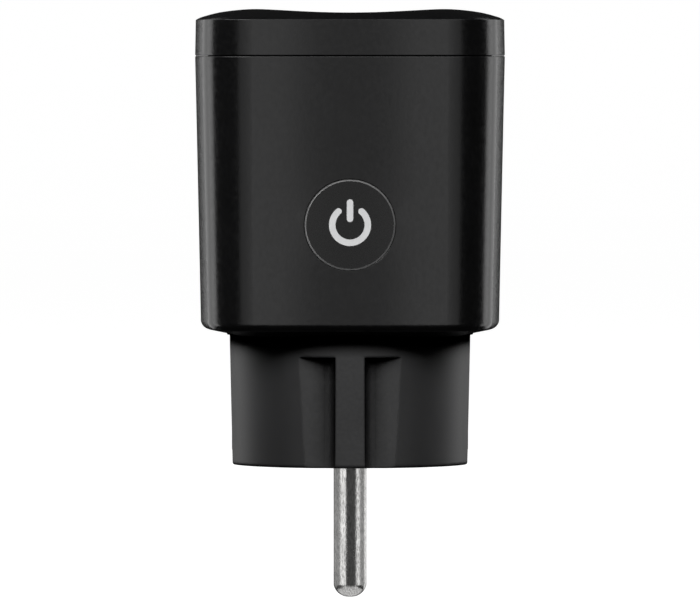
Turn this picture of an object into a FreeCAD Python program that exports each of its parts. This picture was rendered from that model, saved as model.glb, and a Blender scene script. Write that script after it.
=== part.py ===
import FreeCAD, Part
import os

import Sketcher
from FreeCAD import Placement, Rotation, Vector
from math import atan2, cos, hypot, pi, radians, sin, sqrt, tan

# A square smart plug: a round two-pin mains plug below, a socket recess above, a button in one side.
# The origin is the centre of the plug's end face. +Z runs from the pins to the socket, the two pins
# stand in line along Y, the button faces -Y, and the earth contacts are at -X and +X.

doc = FreeCAD.newDocument("SmartPlug")

DIMENSIONS = {
    # housing, seen along Z: four shallow side arcs joined by four corner arcs
    "half_width": 22.7,
    "side_radius": 80.0,
    "corner_radius": 9.0,
    "draft_slope": 0.0213,
    "wall": 1.8,
    "seam_level": 59.8,
    "seam_bevel": 0.14,
    "skin_gap": 0.05,
    "hairline": 0.02,
    "sweep_reach": 8.8,
    # housing floor, a shallow dome around the plug
    "floor_level": 19.1,
    "floor_thickness": 2.2,
    "floor_edge_level": 21.3,
    "foot_arc_inset": 0.28,
    "foot_arc_drop": 0.94,
    "infill_rise": 0.35,
    "dome_outer_inset": 1.8,
    "dome_outer_rise": 0.8,
    "dome_inner_inset": 5.7,
    # front cover: straight band, then a crown that rises towards the recess
    "band_height": 5.25,
    "band_taper": 0.09,
    "shoulder_inset": 1.1,
    "shoulder_rise": 0.5,
    "shoulder_arc_inset": 0.45,
    "shoulder_arc_rise": 0.26,
    "crown_mid_inset": 3.4,
    "crown_mid_rise": 1.08,
    "crown_rise": 1.55,
    "crown_underside_drop": 0.45,
    "tongue_depth": 3.0,
    "tongue_thickness": 1.2,
    "tongue_gap": 0.12,
    "snap_width": 6.0,
    "snap_reach": 0.4,
    "snap_height": 0.8,
    "snap_play": 0.2,
    # socket recess
    "recess_radius": 19.2,
    "recess_floor": 48.7,
    "well_wall": 1.2,
    "well_floor": 1.5,
    "rim_round": 0.3,
    "guide_flat": 16.75,
    "guide_notch": 4.4,
    "guide_top": 63.1,
    "guide_round": 0.45,
    "socket_hole_radius": 2.6,
    "socket_hole_bevel": 0.25,
    "earth_slot_width": 4.7,
    "earth_slot_inner": 16.1,
    "earth_slot_outer": 20.45,
    "earth_slot_top": 64.2,
    # plug body
    "pin_offset": 9.5,
    "plug_root_radius": 18.05,
    "plug_end_radius": 17.65,
    "plug_edge_round": 0.4,
    "plug_hole_radius": 18.15,
    "plug_bore_radius": 15.4,
    "plug_end_wall": 2.6,
    "plug_flange_radius": 19.5,
    "plug_flange_top": 22.9,
    "plug_flat": 16.4,
    "plug_flat_top": 16.1,
    "rib_width": 4.2,
    "rib_fillet": 1.5,
    "earth_groove_width": 8.0,
    "earth_groove_floor": 16.4,
    "pin_boss_radius": 4.2,
    "earth_boss_radius": 4.4,
    "earth_hole_bevel": 0.5,
    "pin_boss_top": 14.0,
    # pins
    "pin_radius": 2.4,
    "pin_length": 19.0,
    "pin_root_radius": 2.7,
    "pin_dome": 1.75,
    "pin_dome_arc_radius": 1.824,
    "pin_dome_arc_rise": 0.65,
    "pin_collar_radius": 2.9,
    "pin_collar_top": 16.0,
    "pin_tail_radius": 1.4,
    "pin_tail_top": 27.0,
    # earth metalwork
    "strip": 0.8,
    "earth_pin_offset": 10.0,
    "earth_hole_radius": 2.5,
    "sleeve_radius": 3.3,
    "sleeve_bore": 2.5,
    "sleeve_top": 17.4,
    "sleeve_slit": 0.8,
    "sleeve_slit_top": 9.4,
    "clip_width": 2.9,
    "clip_bend": 1.1,
    "clip_tip_corner": 0.7,
    "clip_foot": 18.4,
    "clip_foot_level": 44.25,
    "clip_bend_level": 52.0,
    "clip_knee": 15.95,
    "clip_knee_level": 58.2,
    "clip_tip": 18.7,
    "clip_tip_level": 63.6,
    "strap_top": 44.2,
    "strap_reach": 18.9,
    "strap_hole_radius": 1.4,
    "plug_strap_level": 18.6,
    "plug_strap_width": 6.0,
    "plug_arm": 16.9,
    "plug_arm_foot": 2.2,
    "plug_strap_bend": 1.0,
    "link_place": 17.0,
    "link_inner": 13.2,
    "link_width": 4.0,
    "link_strip": 0.6,
    "link_bend": 0.8,
    # socket contacts
    "contact_bore": 2.45,
    "contact_radius": 3.15,
    "contact_foot": 31.0,
    "contact_top": 44.0,
    "contact_slit": 1.3,
    "contact_slit_foot": 33.6,
    "contact_mouth": 1.15,
    "contact_blade_half": 1.6,
    "contact_blade": 0.65,
    # shutter
    "shutter_top": 47.1,
    "shutter_foot": 45.2,
    "shutter_half_width": 3.1,
    "shutter_hub_radius": 4.3,
    "shutter_pocket_radius": 3.35,
    "shutter_pocket_depth": 1.2,
    "shutter_pivot_radius": 1.95,
    "shutter_bore_radius": 2.0,
    "shutter_plate_top": 45.1,
    "shutter_plate_foot": 44.3,
    "shutter_plate_radius": 13.0,
    "shutter_post_offset": 10.5,
    "shutter_post_radius": 1.0,
    "shutter_ramp": 0.8,
    "spring_radius": 2.75,
    "spring_wire": 0.32,
    "spring_pitch": 0.36,
    # button
    "button_level": 35.4,
    "button_radius": 6.58,
    "button_hole_radius": 6.66,
    "button_bevel": 0.24,
    "button_face_back": 20.9,
    "button_collar_face": 19.6,
    "button_collar_radius": 8.6,
    "button_flange_radius": 7.6,
    "button_flange": 0.75,
    "button_inner_radius": 5.2,
    "symbol_radius": 2.57,
    "symbol_stroke": 0.95,
    "symbol_gap_angle": 40.3,
    "symbol_bar_foot": 0.42,
    "symbol_bar_top": 3.72,
    "guide_plate_back": 20.1,
    "guide_stem_radius": 1.4,
    # tact switch and control board, counted as distances from the axis towards the button
    "switch_tip": 19.0,
    "switch_face": 18.4,
    "switch_half": 3.0,
    "switch_frame": 0.35,
    "switch_plunger_radius": 1.7,
    "switch_plunger_head": 2.3,
    "switch_plunger_rim": 0.6,
    "switch_cavity_radius": 2.5,
    "switch_floor": 1.2,
    "control_face": 15.0,
    "control_back": 14.0,
    "control_half_width": 12.5,
    "control_top": 43.0,
    "lamp_offset": 4.2,
    "lamp_half_width": 0.8,
    "lamp_half_height": 0.6,
    "lamp_round": 0.15,
    "header_pitch": 2.54,
    "header_pin": 0.64,
    "header_top": 29.2,
    # main board
    "board_foot": 24.6,
    "board_top": 26.2,
    "board_half": 17.6,
    "board_corner": 14.4,
    "boss_offset": 15.5,
    "boss_radius": 1.9,
    "boss_hole": 1.0,
    "screw_shank": 0.95,
    "screw_head": 1.75,
    "screw_head_height": 1.2,
    "screw_slot_depth": 0.5,
    "screw_slot_reach": 1.1,
    "screw_slot_half": 0.2,
    "hole_play": 0.2,
    # relay
    "relay_low_x": 6.0,
    "relay_width": 12.6,
    "relay_low_y": -13.5,
    "relay_length": 26.0,
    "relay_height": 15.5,
    "relay_wall": 0.8,
    "relay_base": 1.8,
    "relay_round": 0.5,
    "relay_pin": 0.5,
    "relay_pin_spread": 4.0,
    "relay_pin_row": -10.5,
    "relay_yoke_back": -12.4,
    "coil_level": 34.2,
    "coil_radius": 4.5,
    "coil_flange": 4.9,
    "spool_wall": 0.6,
    "spool_flange": 0.8,
    "core_radius": 1.8,
    "pole_radius": 3.0,
    "pole_face": 6.0,
    "yoke": 1.2,
    "yoke_half_width": 4.0,
    "yoke_foot": 39.2,
    "armature_face": 6.75,
    "armature_foot": 31.3,
    "armature_lip": 0.3,
    "contact_level": 29.8,
    "contact_rivet": 1.15,
    "contact_rivet_height": 0.4,
    "moving_blade": 0.3,
    "moving_blade_half": 2.5,
    "moving_blade_foot": 28.5,
    "moving_blade_top": 37.2,
    "fixed_blade_front": 6.4,
    "fixed_blade_back": 5.9,
    "fixed_blade_half": 1.4,
    "fixed_blade_top": 31.0,
    # radio board
    "wifi_face": 16.6,
    "wifi_half_width": 11.0,
    "wifi_top": 43.5,
    "wifi_thickness": 0.8,
    "shield_half_width": 6.0,
    "shield_foot": 27.7,
    "shield_top": 37.2,
    "shield_reach": 2.0,
    "shield_wall": 0.3,
}


class Size:
    """A length held twice: as a number, and as the sheet expression that drives it."""

    def __init__(self, value, text):
        self.value = value
        self.text = text

    def __add__(self, other):
        return joined(self, "+", other, self.value + number(other))

    def __sub__(self, other):
        return joined(self, "-", other, self.value - number(other))

    def __mul__(self, factor):
        return joined(self, "*", factor, self.value * number(factor))

    def __truediv__(self, factor):
        return joined(self, "/", factor, self.value / number(factor))

    def __radd__(self, other):
        return self + other

    def __rsub__(self, other):
        return joined(other, "-", self, number(other) - self.value)

    def __rmul__(self, factor):
        return self * factor

    def __neg__(self):
        return Size(-self.value, f"(-1 * {self.text})")


def number(size):
    return size.value if isinstance(size, Size) else float(size)


def text(size):
    return size.text if isinstance(size, Size) else f"{float(size):.6g}"


def joined(left, sign, right, value):
    return Size(value, f"({text(left)} {sign} {text(right)})")


class SheetSizes:
    """The driving dimensions, written into a spreadsheet and read back as Size values."""

    def __init__(self, dimensions):
        sheet = doc.addObject("Spreadsheet::Sheet", "Sizes")
        for row, (name, value) in enumerate(dimensions.items(), start=1):
            sheet.set(f"A{row}", name)
            sheet.set(f"B{row}", str(value))
            sheet.setAlias(f"B{row}", name)
            setattr(self, name, Size(value, f"Sizes.{name}"))


size = SheetSizes(DIMENSIONS)
doc.recompute()
pieces = []


# ---- small tools for building ---------------------------------------------------------------------

def piece(thing, label):
    """Names a finished sub-part, which makes it one of the exported pieces."""
    thing.Label = label
    pieces.append(thing)
    return thing


def place(thing, x, y, z):
    for axis, distance in zip("xyz", (x, y, z)):
        thing.setExpression(f"Placement.Base.{axis}", text(distance))


def block(name, x, y, z):
    """A box between a low and a high limit on each axis."""
    box = doc.addObject("Part::Box", name)
    for side, (low, high) in zip(("Length", "Width", "Height"), (x, y, z)):
        box.setExpression(side, text(high - low))
    place(box, x[0], y[0], z[0])
    return box


def about(middle, half):
    """The low and high limit of a span given by its middle and its half length."""
    return (middle - half, middle + half)


# Joined solids reach into each other by the lap, and cutting tools run past their work by the overrun.
lap = 0.3
overrun = 1.0
# How far the middle of a quarter round stands back from its corner, for a radius of one.
quarter_middle = 1 - cos(pi / 4)
# How far a soldered pin or blade stands out under its board.
solder_tail = 0.6

TURNS = {
    "Z": Rotation(),
    "Y": Rotation(Vector(1, 0, 0), -90),
    "X": Rotation(Vector(0, 1, 0), 90),
}


def rod(name, radius, length, x, y, z, along="Z"):
    """A cylinder that starts at a point and runs along an axis."""
    cylinder = doc.addObject("Part::Cylinder", name)
    cylinder.Placement = Placement(Vector(), TURNS[along])
    cylinder.setExpression("Radius", text(radius))
    cylinder.setExpression("Height", text(length))
    place(cylinder, x, y, z)
    return cylinder


def fused(name, *parts):
    whole = doc.addObject("Part::MultiFuse", name)
    whole.Shapes = list(parts)
    return whole


def grouped(name, *parts):
    """Separate solids kept together as one piece."""
    group = doc.addObject("Part::Compound", name)
    group.Links = list(parts)
    return group


def cut(name, base, *tools):
    result = doc.addObject("Part::Cut", name)
    result.Base = base
    result.Tool = tools[0] if len(tools) == 1 else fused(f"{name}Tools", *tools)
    return result


def edged(kind, name, base, amount, wanted=lambda edge: True):
    """A Part Fillet or Chamfer on the edges of a solid that wanted(edge) picks."""
    doc.recompute()
    result = doc.addObject(f"Part::{kind}", name)
    result.Base = base
    result.Edges = [(index, number(amount), number(amount))
                    for index, edge in enumerate(base.Shape.Edges, start=1) if wanted(edge)]
    if not result.Edges:
        raise RuntimeError(f"{name} found no edges")
    return result


def new_body(name):
    return doc.addObject("PartDesign::Body", name)


def sketch_on(body, name, role, offset=None):
    """A sketch on one of the body's own origin planes, moved along the plane's normal."""
    plane = next(item for item in body.Origin.OriginFeatures if item.Role == role)
    flat = body.newObject("Sketcher::SketchObject", name)
    flat.AttachmentSupport = (plane, [""])
    flat.MapMode = "FlatFace"
    if offset is not None:
        flat.setExpression("AttachmentOffset.Base.z", text(offset))
    return flat


def fix_point(flat, edge, end, x, y):
    """Holds one point of a sketch at sheet-driven distances from the origin."""
    for kind, distance in (("DistanceX", x), ("DistanceY", y)):
        index = flat.addConstraint(Sketcher.Constraint(kind, -1, 1, edge, end, number(distance)))
        flat.setExpression(f"Constraints[{index}]", text(distance))


def fix_radius(flat, edge, radius):
    index = flat.addConstraint(Sketcher.Constraint("Radius", edge, number(radius)))
    flat.setExpression(f"Constraints[{index}]", text(radius))


def outline(flat, *corners):
    """A closed outline. A corner is (x, y), or (x, y, (x, y)) when an arc through the second point
    leads to it."""
    def spot(pair):
        return Vector(number(pair[0]), number(pair[1]), 0)

    starts = []
    ends = []
    for index, corner in enumerate(corners):
        start = spot(corners[index - 1])
        finish = spot(corner)
        if len(corner) == 2:
            edge = flat.addGeometry(Part.LineSegment(start, finish), False)
            first, last = 1, 2
        else:
            middle = spot(corner[2])
            edge = flat.addGeometry(Part.Arc(start, middle, finish), False)
            turn = (finish - start).cross(middle - start).z
            first, last = (1, 2) if turn < 0 else (2, 1)
            point = flat.addGeometry(Part.Point(middle), True)
            fix_point(flat, point, 1, *corner[2])
            flat.addConstraint(Sketcher.Constraint("PointOnObject", point, 1, edge))
        starts.append((edge, first))
        ends.append((edge, last))
        fix_point(flat, edge, last, corner[0], corner[1])
    for index in range(len(corners)):
        flat.addConstraint(Sketcher.Constraint("Coincident", *ends[index - 1], *starts[index]))
    return flat


def rectangle(flat, x, y):
    return outline(flat, (x[0], y[0]), (x[1], y[0]), (x[1], y[1]), (x[0], y[1]))


def circle(flat, x, y, radius):
    centre = Vector(number(x), number(y), 0)
    edge = flat.addGeometry(Part.Circle(centre, Vector(0, 0, 1), number(radius)), False)
    fix_point(flat, edge, 3, x, y)
    fix_radius(flat, edge, radius)
    return flat


def bent_path(flat, bend, *corners):
    """An open path of straight runs with a tangent arc at each bend."""
    spots = [Vector(number(x), number(y), 0) for x, y in corners]
    run_start = spots[0]
    runs = []
    arcs = []
    for before, corner, after in zip(spots, spots[1:], spots[2:]):
        inward = (corner - before).normalize()
        outward = (after - corner).normalize()
        turn = inward.cross(outward).z
        half_angle = atan2(abs(turn), inward.dot(outward)) / 2
        setback = number(bend) * tan(half_angle)
        leave = corner - inward * setback
        arrive = corner + outward * setback
        side = Vector(-inward.y, inward.x, 0) * (1 if turn > 0 else -1)
        centre = leave + side * number(bend)
        middle = centre + (corner - centre).normalize() * number(bend)
        runs.append(flat.addGeometry(Part.LineSegment(run_start, leave), False))
        arcs.append((flat.addGeometry(Part.Arc(leave, middle, arrive), False), turn > 0))
        run_start = arrive
    runs.append(flat.addGeometry(Part.LineSegment(run_start, spots[-1]), False))
    for index, (arc, left_turn) in enumerate(arcs):
        first, last = (1, 2) if left_turn else (2, 1)
        corner = flat.addGeometry(Part.Point(spots[index + 1]), True)
        fix_point(flat, corner, 1, *corners[index + 1])
        flat.addConstraint(Sketcher.Constraint("Tangent", runs[index], 2, arc, first))
        flat.addConstraint(Sketcher.Constraint("Tangent", arc, last, runs[index + 1], 1))
        flat.addConstraint(Sketcher.Constraint("PointOnObject", corner, 1, runs[index]))
        flat.addConstraint(Sketcher.Constraint("PointOnObject", corner, 1, runs[index + 1]))
        fix_radius(flat, arc, bend)
    fix_point(flat, runs[0], 1, *corners[0])
    fix_point(flat, runs[-1], 2, *corners[-1])
    return flat


def housing_outline(body, name):
    """The plan outline at the seam: four side arcs and four corner arcs, all tangent."""
    flat = sketch_on(body, name, "XY_Plane", size.seam_level)
    side = DIMENSIONS["side_radius"]
    corner = DIMENSIONS["corner_radius"]
    shift = side - DIMENSIONS["half_width"]
    reach = side - corner
    middle = (sqrt(2 * reach * reach - shift * shift) - shift) / 2
    spread = atan2(middle, middle + shift)
    for quarter in range(4):
        turn = quarter * pi / 2
        side_centre = Vector(-shift * cos(turn), -shift * sin(turn), 0)
        corner_centre = Vector(middle * (cos(turn) - sin(turn)), middle * (cos(turn) + sin(turn)), 0)
        side_circle = Part.Circle(side_centre, Vector(0, 0, 1), side)
        corner_circle = Part.Circle(corner_centre, Vector(0, 0, 1), corner)
        flat.addGeometry(Part.ArcOfCircle(side_circle, turn - spread, turn + spread), False)
        flat.addGeometry(Part.ArcOfCircle(corner_circle, turn + spread, turn + pi / 2 - spread), False)
    for arc in range(8):
        flat.addConstraint(Sketcher.Constraint("Tangent", arc, 2, (arc + 1) % 8, 1))
    for arc in (3, 5, 7):
        flat.addConstraint(Sketcher.Constraint("Equal", 1, arc))
    fix_radius(flat, 1, size.corner_radius)
    fix_radius(flat, 0, size.side_radius)
    for arc in (2, 4, 6):
        flat.addConstraint(Sketcher.Constraint("Equal", 0, arc))
    offset = size.side_radius - size.half_width
    fix_point(flat, 0, 3, -offset, 0)
    fix_point(flat, 2, 3, 0, -offset)
    fix_point(flat, 4, 3, offset, 0)
    fix_point(flat, 6, 3, 0, offset)
    return flat


def pad(body, flat, length, both_ways=False, backward=False):
    feature = body.newObject("PartDesign::Pad", f"{flat.Name}Pad")
    feature.Profile = flat
    feature.setExpression("Length", text(length))
    feature.Midplane = both_ways
    feature.Reversed = backward
    return feature


def pocket(body, flat, length, both_ways=False, backward=False):
    doc.recompute()
    before = body.Shape.Volume
    feature = body.newObject("PartDesign::Pocket", f"{flat.Name}Pocket")
    feature.Profile = flat
    feature.setExpression("Length", text(length))
    feature.Midplane = both_ways
    feature.Reversed = backward
    doc.recompute()
    if body.Shape.Volume >= before:
        raise RuntimeError(f"{feature.Name} removed nothing")
    return feature


def revolution(body, flat):
    feature = body.newObject("PartDesign::Revolution", f"{flat.Name}Revolution")
    feature.Profile = flat
    feature.ReferenceAxis = (flat, ["V_Axis"])
    feature.Angle = 360
    return feature


def sweep(body, profile, spine):
    feature = body.newObject("PartDesign::AdditivePipe", f"{profile.Name}Sweep")
    feature.Profile = profile
    feature.Spine = spine
    return feature


def dressed(body, kind, name, amount, wanted):
    """A PartDesign Fillet or Chamfer on the edges that wanted(edge) picks."""
    doc.recompute()
    edges = [f"Edge{index}" for index, edge in enumerate(body.Shape.Edges, start=1) if wanted(edge)]
    if not edges:
        raise RuntimeError(f"{name} found no edges")
    base = body.Tip
    feature = body.newObject(f"PartDesign::{kind}", name)
    feature.Base = (base, edges)
    body.Tip = feature
    feature.setExpression("Radius" if kind == "Fillet" else "Size", text(amount))
    return feature


def bent_strip(name, start_plane, start, thickness, width, bend, *corners):
    """Sheet-metal strip bent in the XZ plane, swept from a rectangle on its starting plane."""
    body = new_body(name)
    profile = sketch_on(body, f"{name}Section", start_plane, start)
    x, z = corners[0]
    if start_plane == "XY_Plane":
        rectangle(profile, about(x, thickness / 2), about(0, width / 2))
    else:
        rectangle(profile, about(0, width / 2), about(z, thickness / 2))
    path = bent_path(sketch_on(body, f"{name}Path", "XZ_Plane"), bend, *corners)
    sweep(body, profile, path)
    return body


# ---- shells ---------------------------------------------------------------------------------------

floor_top = size.floor_level + size.floor_thickness
snap_level = size.seam_level - size.tongue_depth + 0.7
ring_inner = size.half_width - size.sweep_reach
sleeve_foot = size.plug_end_wall - 1


def main_housing():
    body = new_body("MainHousing")
    spine = housing_outline(body, "HousingOutline")
    draft = (size.seam_level - size.floor_edge_level) * size.draft_slope
    wall_foot = size.half_width - draft
    dome_outer = size.half_width - size.dome_outer_inset
    dome_level = size.floor_level + size.dome_outer_rise
    profile = outline(
        sketch_on(body, "HousingSection", "XZ_Plane"),
        (size.half_width - size.seam_bevel, size.seam_level),
        (size.half_width - size.wall, size.seam_level),
        (wall_foot - size.wall, floor_top),
        (ring_inner, floor_top),
        (ring_inner, size.floor_level),
        (size.half_width - size.dome_inner_inset, size.floor_level),
        (dome_outer, dome_level),
        (wall_foot, size.floor_edge_level,
         (wall_foot - size.foot_arc_inset, size.floor_edge_level - size.foot_arc_drop)),
        (size.half_width, size.seam_level - size.seam_bevel),
    )
    sweep(body, profile, spine)
    infill_level = size.floor_level + size.infill_rise
    infill = sketch_on(body, "FloorInfill", "XY_Plane", infill_level)
    circle(infill, 0, 0, size.plug_hole_radius + lap)
    pad(body, infill, floor_top - infill_level)
    hole = circle(sketch_on(body, "PlugHole", "XY_Plane", size.floor_level), 0, 0, size.plug_hole_radius)
    pocket(body, hole, size.floor_thickness * 2, both_ways=True)

    collar = sketch_on(body, "ButtonCollar", "XZ_Plane", size.button_collar_face)
    circle(collar, 0, size.button_level, size.button_collar_radius)
    pad(body, collar, size.wall)
    hole = sketch_on(body, "ButtonHole", "XZ_Plane", size.button_collar_face - overrun)
    circle(hole, 0, size.button_level, size.button_hole_radius)
    pocket(body, hole, size.wall * 3, backward=True)

    bosses = sketch_on(body, "BoardBosses", "XY_Plane", floor_top - lap)
    holes = sketch_on(body, "BoardBossHoles", "XY_Plane", floor_top + lap)
    for across in (-size.boss_offset, size.boss_offset):
        for along in (-size.boss_offset, size.boss_offset):
            circle(bosses, across, along, size.boss_radius)
            circle(holes, across, along, size.boss_hole)
    pad(body, bosses, size.board_foot - floor_top + lap)
    pocket(body, holes, size.board_foot - floor_top, backward=True)

    catches = sketch_on(body, "SnapCatches", "XY_Plane", snap_level - size.snap_play)
    inner = size.half_width - size.wall
    for sign in (-1, 1):
        rectangle(catches, about(0, size.snap_width / 2 + size.snap_play / 2),
                  about((inner + size.snap_play) * sign, size.snap_reach))
    pocket(body, catches, size.snap_height + size.snap_play * 2, backward=True)
    return piece(body, "main_housing")


def front_cover():
    body = new_body("FrontCover")
    spine = housing_outline(body, "CoverOutline")
    band_top = size.seam_level + size.band_height
    band_edge = size.half_width - size.band_taper
    tongue_outer = size.half_width - size.wall - size.tongue_gap
    tongue_inner = tongue_outer - size.tongue_thickness
    underside = band_top - size.crown_underside_drop
    profile = outline(
        sketch_on(body, "CoverSection", "XZ_Plane"),
        (size.half_width, size.seam_level + size.seam_bevel),
        (band_edge, band_top),
        (band_edge - size.shoulder_inset, band_top + size.shoulder_rise,
         (band_edge - size.shoulder_arc_inset, band_top + size.shoulder_arc_rise)),
        (ring_inner, band_top + size.crown_rise,
         (size.half_width - size.crown_mid_inset, band_top + size.crown_mid_rise)),
        (ring_inner, underside),
        (tongue_inner, underside),
        (tongue_inner, size.seam_level - size.tongue_depth),
        (tongue_outer, size.seam_level - size.tongue_depth),
        (tongue_outer, size.seam_level + size.hairline),
        (size.half_width - size.seam_bevel, size.seam_level + size.hairline),
    )
    sweep(body, profile, spine)

    well_radius = size.recess_radius + size.well_wall
    well_foot = size.recess_floor - size.well_floor
    well = outline(
        sketch_on(body, "Well", "XZ_Plane"),
        (0, well_foot),
        (well_radius, well_foot),
        (well_radius, underside + lap),
        (size.recess_radius - lap, underside + lap),
        (size.recess_radius - lap, size.recess_floor),
        (0, size.recess_floor),
    )
    revolution(body, well)
    recess = circle(sketch_on(body, "Recess", "XY_Plane", size.recess_floor), 0, 0, size.recess_radius)
    pocket(body, recess, size.tongue_depth * 8, backward=True)

    def rim(edge):
        box = edge.BoundBox
        radius = hypot(edge.Vertexes[0].X, edge.Vertexes[0].Y)
        return abs(radius - number(size.recess_radius)) < 0.01 and box.ZMin > number(band_top)

    dressed(body, "Fillet", "RimRound", size.rim_round, rim)

    guides = sketch_on(body, "GuideSegments", "XY_Plane", size.recess_floor - lap)
    notch = size.guide_notch / 2
    outer = DIMENSIONS["recess_radius"] + lap
    flat_end = sqrt(outer ** 2 - DIMENSIONS["guide_flat"] ** 2)
    arc_middle = (DIMENSIONS["guide_notch"] / 2 + flat_end) / 2
    for side in (-1, 1):
        for end in (-1, 1):
            outline(
                guides,
                (notch * side, size.guide_flat * end),
                (flat_end * side, size.guide_flat * end),
                (notch * side, sqrt(outer ** 2 - (DIMENSIONS["guide_notch"] / 2) ** 2) * end,
                 (arc_middle * side, sqrt(outer ** 2 - arc_middle ** 2) * end)),
            )
    pad(body, guides, size.guide_top - size.recess_floor + lap)

    def guide_edge(edge):
        box = edge.BoundBox
        on_top = box.ZMin > number(size.guide_top) - 0.01 and box.ZMax < number(size.guide_top) + 0.01
        flat_face = box.YLength < 0.01 and abs(abs(box.YMin) - number(size.guide_flat)) < 0.01
        return flat_face and on_top

    dressed(body, "Fillet", "GuideRound", size.guide_round, guide_edge)

    holes = sketch_on(body, "SocketHoles", "XY_Plane", size.recess_floor + overrun)
    for along in (-size.pin_offset, size.pin_offset):
        circle(holes, 0, along, size.socket_hole_radius)
    pocket(body, holes, size.well_floor + overrun * 2)

    def hole_mouth(edge):
        box = edge.BoundBox
        wide = abs(box.XLength - 2 * number(size.socket_hole_radius)) < 0.01
        return wide and abs(box.ZMax - number(size.recess_floor)) < 0.01

    dressed(body, "Chamfer", "HoleMouth", size.socket_hole_bevel, hole_mouth)

    slots = sketch_on(body, "EarthSlots", "XY_Plane", well_foot - overrun)
    for side in (-1, 1):
        rectangle(slots, (size.earth_slot_inner * side, size.earth_slot_outer * side),
                  about(0, size.earth_slot_width / 2))
    pocket(body, slots, size.earth_slot_top - well_foot + overrun, backward=True)

    pivot_foot = size.shutter_plate_top + size.hairline
    pivot = circle(sketch_on(body, "ShutterPivot", "XY_Plane", pivot_foot), 0, 0, size.shutter_pivot_radius)
    pad(body, pivot, well_foot - pivot_foot + lap)
    stake_foot = size.shutter_plate_foot - size.hairline
    stakes = sketch_on(body, "PlateStakes", "XY_Plane", stake_foot)
    for side in (-1, 1):
        circle(stakes, size.shutter_post_offset * side, 0, size.shutter_post_radius)
    pad(body, stakes, well_foot - stake_foot + lap)

    snaps = sketch_on(body, "SnapBumps", "XY_Plane", snap_level)
    for sign in (-1, 1):
        rectangle(snaps, about(0, size.snap_width / 2), about(tongue_outer * sign, size.snap_reach - 0.1))
    pad(body, snaps, size.snap_height)
    return piece(body, "front_cover")


def plug_body():
    body = new_body("PlugBody")
    taper = outline(
        sketch_on(body, "PlugSection", "XZ_Plane"),
        (0, 0),
        (size.plug_end_radius - size.plug_edge_round, 0),
        (size.plug_end_radius, size.plug_edge_round,
         (size.plug_end_radius - size.plug_edge_round * quarter_middle,
          size.plug_edge_round * quarter_middle)),
        (size.plug_root_radius, size.floor_level),
        (size.plug_root_radius, floor_top),
        (size.plug_flange_radius, floor_top),
        (size.plug_flange_radius, size.plug_flange_top),
        (size.plug_bore_radius, size.plug_flange_top),
        (size.plug_bore_radius, size.plug_end_wall),
        (0, size.plug_end_wall),
    )
    revolution(body, taper)

    boss_foot = size.plug_end_wall - lap
    bosses = sketch_on(body, "PinBosses", "XY_Plane", boss_foot)
    for along in (-size.pin_offset, size.pin_offset):
        circle(bosses, 0, along, size.pin_boss_radius)
    pad(body, bosses, size.pin_boss_top - boss_foot)
    earth_boss = sketch_on(body, "EarthBoss", "XY_Plane", boss_foot)
    circle(earth_boss, size.earth_pin_offset, 0, size.earth_boss_radius)
    pad(body, earth_boss, size.pin_boss_top - boss_foot)

    flats = sketch_on(body, "Flats", "XY_Plane")
    rib = size.rib_width / 2
    round_middle = size.rib_fillet * quarter_middle
    outside = size.plug_flange_radius + overrun
    for side in (-1, 1):
        for end in (-1, 1):
            outline(
                flats,
                (outside * side, size.plug_flat * end),
                (outside * side, outside * end),
                (rib * side, outside * end),
                (rib * side, (size.plug_flat + size.rib_fillet) * end),
                ((rib + size.rib_fillet) * side, size.plug_flat * end,
                 ((rib + round_middle) * side, (size.plug_flat + round_middle) * end)),
            )
    pocket(body, flats, size.plug_flat_top, backward=True)

    grooves = sketch_on(body, "EarthGrooves", "XY_Plane")
    windows = sketch_on(body, "StrapWindows", "XY_Plane", size.plug_strap_level - size.strip - 0.1)
    strap_slot_end = size.plug_arm + size.strip / 2 + 0.1
    for side in (-1, 1):
        rectangle(grooves, (size.earth_groove_floor * side, outside * side),
                  about(0, size.earth_groove_width / 2))
        rectangle(windows, ((size.plug_bore_radius - overrun) * side, strap_slot_end * side),
                  about(0, size.plug_strap_width / 2 + 0.1))
    pocket(body, grooves, size.floor_level - 0.1, backward=True)
    pocket(body, windows, size.plug_flange_top, backward=True)

    pins = sketch_on(body, "PinHoles", "XY_Plane")
    for along in (-size.pin_offset, size.pin_offset):
        circle(pins, 0, along, size.pin_root_radius)
    pocket(body, pins, size.plug_end_wall * 8, backward=True)
    mouth = sketch_on(body, "EarthHole", "XY_Plane")
    circle(mouth, size.earth_pin_offset, 0, size.earth_hole_radius)
    pocket(body, mouth, size.plug_end_wall * 8, backward=True)
    seat = sketch_on(body, "SleeveSeat", "XY_Plane", sleeve_foot)
    circle(seat, size.earth_pin_offset, 0, size.sleeve_radius)
    pocket(body, seat, size.plug_end_wall * 6, backward=True)

    def earth_mouth(edge):
        box = edge.BoundBox
        return abs(box.ZMax) < 0.01 and abs(box.XLength - 2 * number(size.earth_hole_radius)) < 0.01

    dressed(body, "Chamfer", "EarthMouth", size.earth_hole_bevel, earth_mouth)
    return piece(body, "plug_body")


# ---- pins and earth metalwork ---------------------------------------------------------------------

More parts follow.
